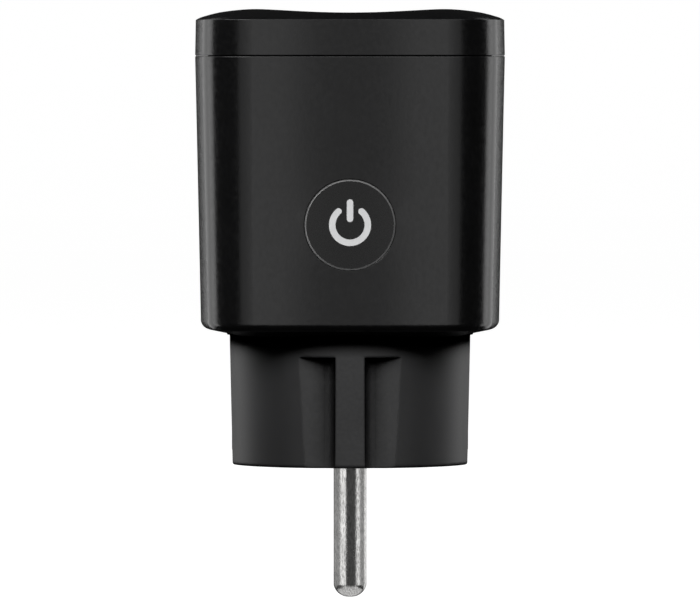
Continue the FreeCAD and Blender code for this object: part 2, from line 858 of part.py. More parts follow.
def plug_pin(label, along):
    """Nickelled pin: domed tip, straight shank, riveted collar and a soldered tail."""
    name = label.title().replace("_", "")
    body = new_body(name)
    tip = -size.pin_length
    shoulder = size.pin_dome - size.pin_length
    section = outline(
        sketch_on(body, f"{name}Section", "XZ_Plane"),
        (0, tip),
        (size.pin_radius, shoulder, (size.pin_dome_arc_radius, tip + size.pin_dome_arc_rise)),
        (size.pin_radius, 0),
        (size.pin_root_radius, 0),
        (size.pin_root_radius, size.pin_boss_top),
        (size.pin_collar_radius, size.pin_boss_top),
        (size.pin_collar_radius, size.pin_collar_top),
        (size.pin_tail_radius, size.pin_collar_top),
        (size.pin_tail_radius, size.pin_tail_top),
        (0, size.pin_tail_top),
    )
    revolution(body, section)
    body.setExpression("Placement.Base.y", text(along))
    return piece(body, label)


def earth_clip(label, side):
    """Spring strip that stands in its slot and bends in to a knee."""
    name = label.title().replace("_", "")
    body = bent_strip(
        name, "XY_Plane", size.clip_foot_level, size.strip, size.clip_width, size.clip_bend,
        (size.clip_foot * side, size.clip_foot_level),
        (size.clip_foot * side, size.clip_bend_level),
        (size.clip_knee * side, size.clip_knee_level),
        (size.clip_tip * side, size.clip_tip_level),
    )

    def tip_corner(edge):
        box = edge.BoundBox
        at_tip = box.ZMin > number(size.clip_tip_level - size.strip)
        return at_tip and box.YLength < 0.01 and edge.Length < number(size.clip_bend)

    dressed(body, "Chamfer", f"{name}Tip", size.clip_tip_corner, tip_corner)
    return piece(body, label)


def earth_metalwork():
    piece(bent_strip(
        "PlugEarthStrap", "XY_Plane", size.plug_arm_foot, size.strip, size.plug_strap_width,
        size.plug_strap_bend,
        (size.plug_arm, size.plug_arm_foot),
        (size.plug_arm, size.plug_strap_level),
        (-size.plug_arm, size.plug_strap_level),
        (-size.plug_arm, size.plug_arm_foot),
    ), "plug_earth_strap")

    strap_top_side = size.plug_strap_level + size.strip / 2
    link_foot = strap_top_side + size.link_strip / 2
    link_top = size.strap_top - size.strip - size.link_strip / 2
    piece(bent_strip(
        "EarthLink", "YZ_Plane", -size.link_inner, size.link_strip, size.link_width, size.link_bend,
        (-size.link_inner, link_foot),
        (-size.link_place, link_foot),
        (-size.link_place, link_top),
        (-size.link_inner, link_top),
    ), "earth_link")

    strap = block("SocketStrapBar", about(0, size.strap_reach), about(0, size.clip_width / 2),
                  (size.strap_top - size.strip, size.strap_top))
    rivet_hole = rod("StrapHole", size.strap_hole_radius, size.strip * 2, 0, 0,
                     size.strap_top - size.strip * 1.5)
    piece(cut("SocketEarthStrap", strap, rivet_hole), "socket_earth_strap")

    tube = rod("SleeveBlank", size.sleeve_radius, size.sleeve_top - sleeve_foot,
               size.earth_pin_offset, 0, sleeve_foot)
    bore = rod("SleeveBore", size.sleeve_bore, size.sleeve_top, size.earth_pin_offset, 0, 0)
    slit = block("SleeveSlit", about(size.earth_pin_offset, size.sleeve_radius * 2),
                 about(0, size.sleeve_slit / 2), (sleeve_foot - overrun, size.sleeve_slit_top))
    piece(cut("EarthReceptacle", tube, bore, slit), "earth_receptacle")


def socket_contact(label, side):
    """Split spring sleeve for a guest pin, with a blade that is soldered into the board."""
    name = label.title().replace("_", "")
    along = size.pin_offset * side
    height = size.contact_top - size.contact_foot
    tube = rod(f"{name}Tube", size.contact_radius, height, 0, along, size.contact_foot)
    blade_near = size.pin_offset + size.contact_bore
    blade_sides = sorted((blade_near * side, (blade_near + size.contact_blade) * side), key=number)
    blade = block(f"{name}Blade", about(0, size.contact_blade_half), blade_sides,
                  (size.board_foot - solder_tail, size.contact_slit_foot))
    bore = rod(f"{name}Bore", size.contact_bore, height * 2, 0, along, size.contact_foot - overrun)
    mouth = doc.addObject("Part::Cone", f"{name}Mouth")
    mouth.setExpression("Radius1", text(size.contact_bore))
    mouth.setExpression("Radius2", text(size.contact_radius - 0.1))
    mouth.setExpression("Height", text(size.contact_mouth))
    place(mouth, 0, along, size.contact_top - size.contact_mouth)
    slit = block(f"{name}Slit", about(0, size.contact_slit / 2),
                 about(along, size.contact_radius + overrun),
                 (size.contact_slit_foot, size.contact_top + overrun))
    return piece(cut(name, fused(f"{name}Blank", tube, blade), bore, mouth, slit), label)


# ---- shutter --------------------------------------------------------------------------------------

def shutter():
    """A two-armed rotor that covers both pin holes, its return spring and its retaining plate."""
    body = new_body("ShutterRotor")
    half = size.shutter_half_width
    reach = size.pin_offset
    arms = outline(
        sketch_on(body, "ShutterArms", "XY_Plane", size.shutter_foot),
        (half, reach),
        (-half, reach, (0, reach + half)),
        (-half, -reach),
        (half, -reach, (0, -(reach + half))),
    )
    pad(body, arms, size.shutter_top - size.shutter_foot)
    hub = sketch_on(body, "ShutterHub", "XY_Plane", size.shutter_foot)
    circle(hub, 0, 0, size.shutter_hub_radius)
    pad(body, hub, size.shutter_top - size.shutter_foot)
    bore = sketch_on(body, "ShutterBore", "XY_Plane", size.shutter_foot)
    circle(bore, 0, 0, size.shutter_bore_radius)
    pocket(body, bore, size.shutter_top, both_ways=True)
    recess = sketch_on(body, "SpringRecess", "XY_Plane", size.shutter_foot)
    circle(recess, 0, 0, size.shutter_pocket_radius)
    pocket(body, recess, size.shutter_pocket_depth, backward=True)

    def ramp(edge):
        return edge.BoundBox.ZMin > number(size.shutter_top) - 0.01 and edge.BoundBox.YLength > 5

    dressed(body, "Chamfer", "ShutterRamp", size.shutter_ramp, ramp)
    piece(body, "shutter_rotor")

    coil = new_body("ShutterSpring")
    wire = sketch_on(coil, "SpringWire", "XZ_Plane")
    circle(wire, size.spring_radius, size.shutter_foot + 0.25, size.spring_wire / 2)
    turns = coil.newObject("PartDesign::AdditiveHelix", "SpringTurns")
    turns.Profile = wire
    turns.ReferenceAxis = (wire, ["V_Axis"])
    turns.Mode = 0
    turns.setExpression("Pitch", text(size.spring_pitch))
    turns.setExpression("Height", text(size.spring_pitch * 2))
    piece(coil, "shutter_spring")

    plate_height = size.shutter_plate_top - size.shutter_plate_foot
    plate = rod("ShutterPlateDisc", size.shutter_plate_radius, plate_height, 0, 0, size.shutter_plate_foot)
    holes = []
    for side in (-1, 1):
        for kind, radius, across, along in (
            ("Pin", size.socket_hole_radius + 0.4, 0, size.pin_offset * side),
            ("Stake", size.shutter_post_radius, size.shutter_post_offset * side, 0),
        ):
            holes.append(rod(f"Plate{kind}Hole{len(holes)}", radius, plate_height * 4, across, along,
                             size.shutter_plate_foot - overrun))
    piece(cut("ShutterPlate", plate, *holes), "shutter_plate")


# ---- button, light guide and tact switch ----------------------------------------------------------

def side_wall_cone(name, inset):
    """The housing's -Y side as a solid cone: its face is the side arc with the wall's draft."""
    below = 8
    foot = size.button_level - below
    foot_radius = size.side_radius - (size.seam_level - foot) * size.draft_slope
    cone = doc.addObject("Part::Cone", name)
    cone.setExpression("Radius1", text(foot_radius - inset))
    cone.setExpression("Radius2", text(foot_radius + size.draft_slope * (2 * below) - inset))
    cone.Height = 2 * below
    place(cone, 0, size.side_radius - size.half_width, foot)
    return cone


def disc(name, radius, near, far):
    """A disc on the button's axis between two distances from the plug's axis, near < far."""
    return rod(name, radius, far - near, 0, -far, size.button_level, along="Y")


def trimmed(name, blank, inset):
    """Trims a disc that is too long so that its front follows the housing's side."""
    front = doc.addObject("Part::Common", name)
    front.Base = blank
    front.Tool = side_wall_cone(f"{name}Cone", inset)
    return front


def power_symbol(name):
    """An open ring with a bar through its gap, as a prism along Y."""
    body = new_body(name)
    flat = sketch_on(body, f"{name}Outline", "XZ_Plane", size.button_face_back - lap)
    gap = radians(DIMENSIONS["symbol_gap_angle"])
    start = pi / 2 + gap
    finish = 5 * pi / 2 - gap
    middle = (start + finish) / 2
    half = size.symbol_stroke / 2

    def ring_spot(radius, angle):
        return (radius * cos(angle), size.button_level + radius * sin(angle))

    def cap_spot(angle, forward):
        centre = ring_spot(size.symbol_radius, angle)
        return (centre[0] - half * sin(angle) * forward, centre[1] + half * cos(angle) * forward)

    inner = size.symbol_radius - half
    outer = size.symbol_radius + half
    outline(
        flat,
        (*ring_spot(outer, start), cap_spot(start, -1)),
        (*ring_spot(outer, finish), ring_spot(outer, middle)),
        (*ring_spot(inner, finish), cap_spot(finish, 1)),
        (*ring_spot(inner, start), ring_spot(inner, middle)),
    )
    foot = size.button_level + size.symbol_bar_foot + half
    top = size.button_level + size.symbol_bar_top - half
    outline(
        flat,
        (half, top),
        (-half, top, (0, top + half)),
        (-half, foot),
        (half, foot, (0, foot - half)),
    )
    pad(body, flat, size.half_width - size.button_face_back + overrun)
    return body


def power_button():
    """A flush cap with a bevelled edge and the symbol cut through it, and the light guide behind."""
    blank = disc("ButtonFaceBlank", size.button_radius, size.button_face_back, size.half_width + overrun)

    def front_edge(edge):
        box = edge.BoundBox
        return box.XLength > number(size.button_radius) and box.YMax < -number(size.button_face_back + lap)

    face = edged("Chamfer", "ButtonBevel", trimmed("ButtonFace", blank, 0), size.button_bevel, front_edge)
    flange_face = size.button_collar_face - size.skin_gap
    flange_back = flange_face - size.button_flange
    skirt = disc("ButtonSkirt", size.button_radius, flange_back, size.button_face_back + lap)
    flange = disc("ButtonFlange", size.button_flange_radius, flange_back, flange_face)
    hollow = disc("ButtonHollow", size.button_inner_radius, flange_back - overrun, size.button_face_back)
    symbol_slots = power_symbol("SymbolSlots")
    cap = cut("ButtonCap", fused("ButtonBlank", face, skirt, flange), hollow, symbol_slots)
    piece(cap, "power_button")

    islands = trimmed("SymbolIslands", power_symbol("SymbolPrism"), size.hairline)
    plate = disc("GuidePlate", size.button_inner_radius - size.hairline, size.guide_plate_back,
                 size.button_face_back)
    stem = disc("GuideStem", size.guide_stem_radius, size.switch_tip + size.hairline,
                size.guide_plate_back + lap)
    piece(fused("SymbolLightGuide", islands, plate, stem), "symbol_light_guide")


def tact_switch():
    """Base, steel frame and sliding plunger of the switch behind the button."""
    levels = about(size.button_level, size.switch_half)
    frame_back = size.switch_face - size.switch_frame
    base = block("SwitchBaseBlock", about(0, size.switch_half), (-frame_back, -size.control_face), levels)
    cavity = disc("SwitchCavity", size.switch_cavity_radius, size.control_face + size.switch_floor,
                  frame_back + overrun)
    piece(cut("SwitchBase", base, cavity), "switch_base")
    frame = block("SwitchFramePlate", about(0, size.switch_half), (-size.switch_face, -frame_back), levels)
    opening = disc("SwitchOpening", size.switch_plunger_radius + size.skin_gap, frame_back - overrun,
                   size.switch_face + overrun)
    piece(cut("SwitchFrame", frame, opening), "switch_frame")
    head_front = frame_back - size.hairline
    shaft = disc("PlungerShaft", size.switch_plunger_radius, head_front - lap, size.switch_tip)
    head = disc("PlungerHead", size.switch_plunger_head, head_front - size.switch_plunger_rim, head_front)
    piece(fused("SwitchPlunger", shaft, head), "switch_plunger")


header_pins = 5


def control_side():
    """The upright board behind the button, with its lamps and its row of pins."""
    board = block("ControlBoardBlank", about(0, size.control_half_width),
                  (-size.control_face, -size.control_back), (size.board_top, size.control_top))
    piece(board, "control_board")
    lamps = []
    for side in (-1, 1):
        lamp = block(f"Lamp{len(lamps)}", about(size.lamp_offset * side, size.lamp_half_width),
                     (-(size.control_face + size.lamp_half_width), -size.control_face),
                     about(size.button_level, size.lamp_half_height))
        lamps.append(edged("Fillet", f"RoundLamp{len(lamps)}", lamp, size.lamp_round))
    piece(grouped("IndicatorLeds", *lamps), "indicator_leds")
    pins = []
    for index in range(header_pins):
        across = size.header_pitch * (index - (header_pins - 1) / 2)
        pins.append(block(f"HeaderPin{index}", about(across, size.header_pin / 2),
                          (-(size.control_face + size.header_pin), -size.control_face),
                          (size.board_foot - solder_tail, size.header_top)))
    piece(grouped("ControlHeader", *pins), "control_header")


# ---- main board and relay -------------------------------------------------------------------------

relay_x = (size.relay_low_x, size.relay_low_x + size.relay_width)
relay_y = (size.relay_low_y, size.relay_low_y + size.relay_length)
relay_middle = size.relay_low_x + size.relay_width / 2
relay_base_top = size.board_top + size.relay_base
relay_pin_places = (
    (relay_middle - size.relay_pin_spread, size.relay_pin_row),
    (relay_middle + size.relay_pin_spread, size.relay_pin_row),
    (relay_middle, size.relay_yoke_back + size.yoke / 2),
)
fixed_blade = (size.fixed_blade_back, size.fixed_blade_front)


def main_board():
    """Eight-sided board with holes for screws, pin tails, contacts and relay pins."""
    body = new_body("MainBoard")
    half = size.board_half
    corner = size.board_corner
    play = size.hole_play
    shape = outline(
        sketch_on(body, "BoardOutline", "XY_Plane", size.board_foot),
        (half, corner), (corner, half), (-corner, half), (-half, corner),
        (-half, -corner), (-corner, -half), (corner, -half), (half, -corner),
    )
    pad(body, shape, size.board_top - size.board_foot)
    holes = sketch_on(body, "BoardHoles", "XY_Plane", size.board_foot - overrun)
    for across in (-size.boss_offset, size.boss_offset):
        for along in (-size.boss_offset, size.boss_offset):
            circle(holes, across, along, size.screw_shank + play)
    blade_middle = size.pin_offset + size.contact_bore + size.contact_blade / 2
    for side in (-1, 1):
        circle(holes, 0, size.pin_offset * side, size.pin_tail_radius + play)
        rectangle(holes, about(0, size.contact_blade_half + play),
                  about(blade_middle * side, size.contact_blade / 2 + play))
    rectangle(holes, (-size.board_half - overrun, size.link_strip / 2 + play * 2 - size.link_place),
              about(0, size.link_width / 2 + play))
    header_half = size.header_pitch * ((header_pins - 1) / 2) + size.header_pin / 2
    rectangle(holes, about(0, header_half + play),
              (-(size.control_face + size.header_pin + play), play - size.control_face))
    for across, along in relay_pin_places:
        circle(holes, across, along, size.relay_pin + play)
    rectangle(holes, about(relay_middle, size.fixed_blade_half + play),
              (fixed_blade[0] - play, fixed_blade[1] + play))
    pocket(body, holes, size.board_top - size.board_foot + overrun * 2, backward=True)
    piece(body, "main_board")
    piece(grouped("BoardScrews", *board_screws()), "board_screws")


def board_screws():
    """Four pan-head screws with crossed slots."""
    screws = []
    head_top = size.board_top + size.screw_head_height
    slot_levels = (head_top - size.screw_slot_depth, head_top + overrun)
    for across in (-size.boss_offset, size.boss_offset):
        for along in (-size.boss_offset, size.boss_offset):
            tag = len(screws)
            shank = rod(f"Shank{tag}", size.screw_shank, size.board_top - floor_top, across, along,
                        floor_top + lap * 2)
            head = rod(f"Head{tag}", size.screw_head, size.screw_head_height, across, along, size.board_top)
            slots = [
                block(f"SlotAcross{tag}", about(across, size.screw_slot_reach),
                      about(along, size.screw_slot_half), slot_levels),
                block(f"SlotAlong{tag}", about(across, size.screw_slot_half),
                      about(along, size.screw_slot_reach), slot_levels),
            ]
            screws.append(cut(f"Screw{tag}", fused(f"ScrewBlank{tag}", shank, head), *slots))
    return screws


def coil_rod(name, radius, near, far):
    """A rod on the coil's axis."""
    return rod(name, radius, far - near, relay_middle, near, size.coil_level, along="Y")


def contact_rivet(name, near, far):
    """A contact rivet."""
    return rod(name, size.contact_rivet, far - near, relay_middle, near, size.contact_level, along="Y")


def relay():
    """Power relay: base, case, coil on its bobbin, core, yoke, armature and contact pair."""
    inside_x = (relay_x[0] + size.relay_wall, relay_x[1] - size.relay_wall)
    inside_y = (relay_y[0] + size.relay_wall, relay_y[1] - size.relay_wall)
    base = block("RelayBaseBlank", inside_x, inside_y, (size.board_top, relay_base_top))
    slots = [rod(f"RelayBaseHole{index}", size.relay_pin + size.skin_gap, size.relay_base + overrun * 2,
                 across, along, size.board_top - overrun)
             for index, (across, along) in enumerate(relay_pin_places)]
    fixed_x = about(relay_middle, size.fixed_blade_half)
    slots.append(block("FixedBladeSlot", fixed_x, fixed_blade,
                       (size.board_top - overrun, relay_base_top + overrun)))
    piece(cut("RelayBase", base, *slots), "relay_base")

    case_top = size.board_top + size.relay_height
    case = block("RelayCaseOuter", relay_x, relay_y, (size.board_top, case_top))
    inside = block("RelayCaseInner", inside_x, inside_y,
                   (size.board_top - overrun, case_top - size.relay_wall))
    round_case = edged("Fillet", "RelayCaseRound", case, size.relay_round)
    piece(cut("RelayCase", round_case, inside), "relay_case")

    coil_near = size.relay_yoke_back + size.yoke + size.hole_play
    coil_far = size.pole_face - size.spool_flange
    spool_radius = size.core_radius + size.spool_wall
    spool = coil_rod("Spool", spool_radius, coil_near, coil_far)
    flanges = [
        coil_rod("SpoolNearFlange", size.coil_flange, coil_near, coil_near + size.spool_flange),
        coil_rod("SpoolFarFlange", size.coil_flange, coil_far - size.spool_flange, coil_far),
    ]
    bore = coil_rod("SpoolBore", size.core_radius, coil_near - overrun, coil_far + overrun)
    piece(cut("RelayBobbin", fused("SpoolBlank", spool, *flanges), bore), "relay_bobbin")
    winding = coil_rod("Winding", size.coil_radius, coil_near + size.spool_flange,
                          coil_far - size.spool_flange)
    winding_bore = coil_rod("WindingBore", spool_radius, coil_near, coil_far)
    piece(cut("RelayCoil", winding, winding_bore), "relay_coil")
    core = coil_rod("Core", size.core_radius, size.relay_yoke_back + size.yoke, size.pole_face)
    pole = coil_rod("Pole", size.pole_radius, coil_far, size.pole_face)
    piece(fused("RelayCore", core, pole), "relay_core")

    yoke_x = about(relay_middle, size.yoke_half_width)
    yoke_levels = (size.yoke_foot, size.yoke_foot + size.yoke)
    back = block("YokeBack", yoke_x, (size.relay_yoke_back, size.relay_yoke_back + size.yoke),
                 (relay_base_top, yoke_levels[1]))
    top = block("YokeTop", yoke_x, (size.relay_yoke_back, size.armature_face - size.skin_gap * 2),
                yoke_levels)
    piece(fused("RelayYoke", back, top), "relay_yoke")

    armature_back = size.armature_face + size.yoke
    piece(block("Armature", yoke_x, (size.armature_face, armature_back),
                (size.armature_foot, yoke_levels[1] + size.armature_lip)), "relay_armature")
    blade = block("MovingBlade", about(relay_middle, size.moving_blade_half),
                  (armature_back, armature_back + size.moving_blade),
                  (size.moving_blade_foot, size.moving_blade_top))
    rivet = contact_rivet("MovingRivet", armature_back - size.contact_rivet_height, armature_back)
    piece(fused("MovingContact", blade, rivet), "relay_moving_contact")

    post = block("FixedBlade", fixed_x, fixed_blade, (size.board_foot - solder_tail, size.fixed_blade_top))
    fixed_rivet = contact_rivet("FixedRivet", size.armature_face - size.contact_rivet_height,
                                 size.armature_face)
    piece(fused("FixedContact", post, fixed_rivet), "relay_fixed_contact")

    pins = [rod(f"RelayPin{index}", size.relay_pin, relay_base_top - size.board_foot + solder_tail,
                across, along, size.board_foot - solder_tail)
            for index, (across, along) in enumerate(relay_pin_places)]
    piece(grouped("RelayTerminals", *pins), "relay_terminals")


# ---- parts beside the relay: their middles are counted from the plug's axis -----------------------

def on_board(name, x, y, width, length, height, round_off=0):
    """A component with its middle at (x, y) that stands on the board."""
    case = block(name, about(x, width / 2), about(y, length / 2), (size.board_top, size.board_top + height))
    return edged("Fillet", f"{name}Round", case, round_off) if round_off else case


def can(name, x, y, radius, height):
    """Electrolytic can with a rolled groove near its foot."""
    groove_low = size.board_top + 1.2
    groove_high = size.board_top + 2.2
    groove_depth = 0.3
    edge = 0.5
    body = new_body(name)
    top = size.board_top + height
    section = outline(
        sketch_on(body, f"{name}Section", "XZ_Plane"),
        (0, size.board_top),
        (radius, size.board_top),
        (radius, groove_low),
        (radius, groove_high, (radius - groove_depth, (groove_low + groove_high) / 2)),
        (radius, top - edge),
        (radius - edge, top, (radius - edge * quarter_middle, top - edge * quarter_middle)),
        (0, top),
    )
    revolution(body, section)
    body.Placement = Placement(Vector(x, y, 0), Rotation())
    return body


def supply_parts():
    """Filter, smoothing, supply, protection and metering parts on the -X side of the board."""
    piece(on_board("FilmCapacitor", x=-14.0, y=0, width=4.8, length=11.5, height=11, round_off=0.5),
          "film_capacitor")
    cans = [
        can("CanLow", x=-8.4, y=12.8, radius=3.4, height=11),
        can("CanHigh", x=-15.0, y=9.9, radius=2.9, height=9),
    ]
    piece(grouped("Electrolytics", *cans), "electrolytic_capacitors")
    transformer()
    varistor_disc = rod("VaristorDisc", radius=3.7, length=3.1, x=-8.2, y=6.1, z=size.board_top + 4.7,
                        along="Y")
    legs = on_board("VaristorLegs", x=-8.2, y=7.6, width=5.0, length=0.7, height=3.0)
    piece(fused("Varistor", varistor_disc, legs), "varistor")
    fuse_resistor()
    piece(on_board("BridgeRectifier", x=-9.4, y=0, width=4.0, length=5.6, height=2.4, round_off=0.3),
          "bridge_rectifier")
    shunt_outer = on_board("ShuntOuter", x=0, y=0, width=8.0, length=2.4, height=3.2)
    shunt_inner = on_board("ShuntInner", x=0, y=0, width=6.6, length=4.0, height=2.5)
    piece(cut("ShuntResistor", shunt_outer, shunt_inner), "shunt_resistor")
    chips = [
        on_board("MeterChip", x=0, y=4.6, width=5.0, length=4.0, height=1.4),
        on_board("SupplyChip", x=-4.8, y=-3.6, width=2.9, length=2.6, height=1.1),
    ]
    piece(grouped("BoardChips", *chips), "board_chips")


def transformer():
    """A winding inside a frame of ferrite."""
    x = -8.0
    y = -9.2
    winding_height = 8.0
    piece(on_board("TransformerWinding", x, y, width=6.4, length=7.2, height=winding_height, round_off=0.5),
          "transformer_winding")
    frame = on_board("TransformerFrame", x, y, width=9.4, length=4.0, height=9.4)
    window = on_board("TransformerWindow", x, y, width=6.5, length=9.0, height=winding_height + 0.1)
    piece(cut("TransformerCore", frame, window), "transformer_core")


def fuse_resistor():
    """A lying barrel with a cap on each end."""
    x = -15.9
    start = -13.5
    cap_length = 1.4
    barrel_length = 7.4
    level = size.board_top + 1.95
    barrel = rod("FuseBarrel", 1.7, barrel_length, x, start, level, along="Y")
    caps = [rod(f"FuseCap{index}", 1.95, cap_length, x, along, level, along="Y")
            for index, along in enumerate((start, start + barrel_length - cap_length))]
    piece(fused("FuseResistor", barrel, *caps), "fuse_resistor")


def wifi_module():
    """Upright radio board on the +Y side, with a shield can over its chip."""
    shield_face = size.wifi_face + size.wifi_thickness
    piece(block("WifiBoard", about(0, size.wifi_half_width), (size.wifi_face, shield_face),
                (size.board_top, size.wifi_top)), "wifi_board")
    outer = block("ShieldOuter", about(0, size.shield_half_width),
                  (shield_face, shield_face + size.shield_reach), (size.shield_foot, size.shield_top))
    inner = block("ShieldInner", about(0, size.shield_half_width - size.shield_wall),
                  (shield_face - overrun, shield_face + size.shield_reach - size.shield_wall),
                  (size.shield_foot + size.shield_wall, size.shield_top - size.shield_wall))
    piece(cut("WifiShield", outer, inner), "wifi_shield")


# ---- assembly -------------------------------------------------------------------------------------

main_housing()
front_cover()
plug_body()
plug_pin("live_pin", size.pin_offset)
plug_pin("neutral_pin", -size.pin_offset)
earth_clip("earth_clip_right", 1)
earth_clip("earth_clip_left", -1)
earth_metalwork()
socket_contact("live_contact", 1)
socket_contact("neutral_contact", -1)
shutter()
power_button()
tact_switch()
control_side()
main_board()
relay()
supply_parts()
wifi_module()
doc.recompute()

failed = [item.Name for item in doc.Objects if {"Invalid", "Error"} & set(item.State)]
for part in pieces:
    if part.Shape.isNull() or not part.Shape.isValid() or not part.Shape.Solids:
        failed.append(part.Label)
if failed:
    raise RuntimeError("not built: " + ", ".join(failed))

os.makedirs("parts", exist_ok=True)
for part in pieces:
    part.Shape.exportStep(f"parts/{part.Label}.step")
print(len(pieces), "pieces written")
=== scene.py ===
import math

import bpy
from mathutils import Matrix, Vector


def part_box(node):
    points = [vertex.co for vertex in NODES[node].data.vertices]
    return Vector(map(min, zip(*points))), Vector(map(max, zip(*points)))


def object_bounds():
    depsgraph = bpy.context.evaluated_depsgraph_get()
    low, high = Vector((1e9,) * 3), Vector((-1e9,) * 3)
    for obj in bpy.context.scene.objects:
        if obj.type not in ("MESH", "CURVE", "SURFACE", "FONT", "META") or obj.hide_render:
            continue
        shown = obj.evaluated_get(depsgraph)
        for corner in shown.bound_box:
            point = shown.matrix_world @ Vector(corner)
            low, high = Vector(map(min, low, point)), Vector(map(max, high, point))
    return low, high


# The looks of a square smart plug, built around its CAD frame: a finish for every CAD node, a white
# backdrop, soft panels of light and a camera. Everything is in metres, in the CAD's own frame: +Z from
# the pins to the socket, pins in line along Y, button on -Y, origin at the middle of the plug's end face.

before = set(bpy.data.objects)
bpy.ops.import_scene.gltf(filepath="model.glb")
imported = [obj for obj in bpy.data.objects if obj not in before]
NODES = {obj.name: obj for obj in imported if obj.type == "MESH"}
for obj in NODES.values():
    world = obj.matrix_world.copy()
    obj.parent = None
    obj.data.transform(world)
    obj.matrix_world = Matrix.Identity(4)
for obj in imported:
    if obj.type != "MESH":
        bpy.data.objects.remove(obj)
cad_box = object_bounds()
MM = 0.001
FINISHES = []        # the names of the finishes made so far
BEVEL_SAMPLES = 6
SHELTER_SAMPLES = 20


# ---- a small tool for building node materials ------------------------------------------------------

class Finish:
    """A Principled material that is put together node by node. Sizes are in metres."""

    def __init__(self, name):
        self.material = bpy.data.materials.new(name)
        FINISHES.append(name)
        self.material.use_nodes = True
        self.tree = self.material.node_tree
        self.shader = self.tree.nodes["Principled BSDF"]
        self.place = self.add("ShaderNodeTexCoord").outputs["Object"]

    def add(self, kind, settings=None, **inputs):
        """A new shader node with its settings and inputs."""
        node = self.tree.nodes.new(kind)
        for key, value in (settings or {}).items():
            setattr(node, key, value)
        for key, value in inputs.items():
            self.feed(node.inputs[key], value)
        return node

    def feed(self, socket, value):
        """Links a socket to another node's output, or gives it a plain value."""
        if isinstance(value, bpy.types.NodeSocket):
            self.tree.links.new(value, socket)
        else:
            socket.default_value = value

    def noise(self, grain, detail=2.0, stretch=(1, 1, 1), offset=0.0):
        """Noise between 0 and 1 whose lumps are about one grain across, longer where stretched."""
        scale = tuple(1 / (grain * part) for part in stretch)
        moved = self.add("ShaderNodeMapping", Vector=self.place, Scale=scale, Location=(offset,) * 3)
        return self.add("ShaderNodeTexNoise", Vector=moved.outputs["Vector"], Scale=1.0,
                        Detail=detail).outputs["Fac"]

    def span(self, factor, low, high, start=0.3, end=0.7):
        """The factor carried to a range of values, with its ends clamped."""
        node = self.add("ShaderNodeMapRange", {"clamp": True}, Value=factor)
        for socket, value in (("From Min", start), ("From Max", end), ("To Min", low), ("To Max", high)):
            self.feed(node.inputs[socket], value)
        return node.outputs["Result"]

    def sum(self, first, second, operation="ADD"):
        """Two values added, or joined by another operation."""
        node = self.add("ShaderNodeMath", {"operation": operation})
        self.feed(node.inputs[0], first)
        self.feed(node.inputs[1], second)
        return node.outputs["Value"]

    def mix(self, factor, first, second):
        """A colour between two, the first at a factor of 0 and the second at 1."""
        node = self.add("ShaderNodeMix", {"data_type": "RGBA"})
        self.feed(node.inputs["Factor"], factor)
        self.feed(node.inputs["A"], (*first, 1.0) if isinstance(first, tuple) else first)
        self.feed(node.inputs["B"], (*second, 1.0) if isinstance(second, tuple) else second)
        return node.outputs["Result"]

    def bump(self, height, depth, normal=None):
        """Adds relief of a depth in metres on top of what was there."""
        node = self.add("ShaderNodeBump", Strength=1.0, Distance=depth, Height=height)
        if normal is not None:
            self.feed(node.inputs["Normal"], normal)
        return node.outputs["Normal"]

    def soft_edges(self, radius):
        """The normal rounded over edges, and a factor that is 1 along them and 0 elsewhere."""
        rounded = self.add("ShaderNodeBevel", {"samples": BEVEL_SAMPLES}, Radius=radius).outputs["Normal"]
        flat = self.add("ShaderNodeNewGeometry").outputs["Normal"]
        likeness = self.add("ShaderNodeVectorMath", {"operation": "DOT_PRODUCT"})
        self.feed(likeness.inputs[0], rounded)
        self.feed(likeness.inputs[1], flat)
        edge = self.span(likeness.outputs["Value"], 1.0, 0.0, 0.8, 0.995)
        return rounded, edge

    def painted_shade(self, reach, closed, open_at):
        """A painted-shade factor: 1 on open surfaces, falling to 0 deep in corners and under overhangs."""
        shelter = self.add("ShaderNodeAmbientOcclusion", {"samples": SHELTER_SAMPLES}, Distance=reach)
        return self.span(shelter.outputs["AO"], 0.0, 1.0, closed, open_at)

    def set(self, **values):
        """Gives the material's own inputs their values, with _ for a space in their names."""
        for key, value in values.items():
            socket = self.shader.inputs[key.replace("_", " ")]
            self.feed(socket, (*value, 1.0) if isinstance(value, tuple) and len(value) == 3 else value)
        return self.material


def paint(material, *names):
    """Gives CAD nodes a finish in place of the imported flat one."""
    for name in names:
        slots = NODES[name].data.materials
        slots.clear()
        slots.append(material)


# ---- plastics --------------------------------------------------------------------------------------

BLACK = (0.0042, 0.0042, 0.0044)
# The light grey of the painted highlight on the button's bevel.
BEVEL_HIGHLIGHT_GREY = (0.36, 0.36, 0.36)
BEVEL_INNER = 6.34 * MM      # the radius at which the button's bevel starts
BEVEL_BACK = -20.9 * MM      # the button is bevelled only in front of this


def shade(colour, factor):
    """The colour made lighter or darker."""
    return tuple(min(part * factor, 1.0) for part in colour)


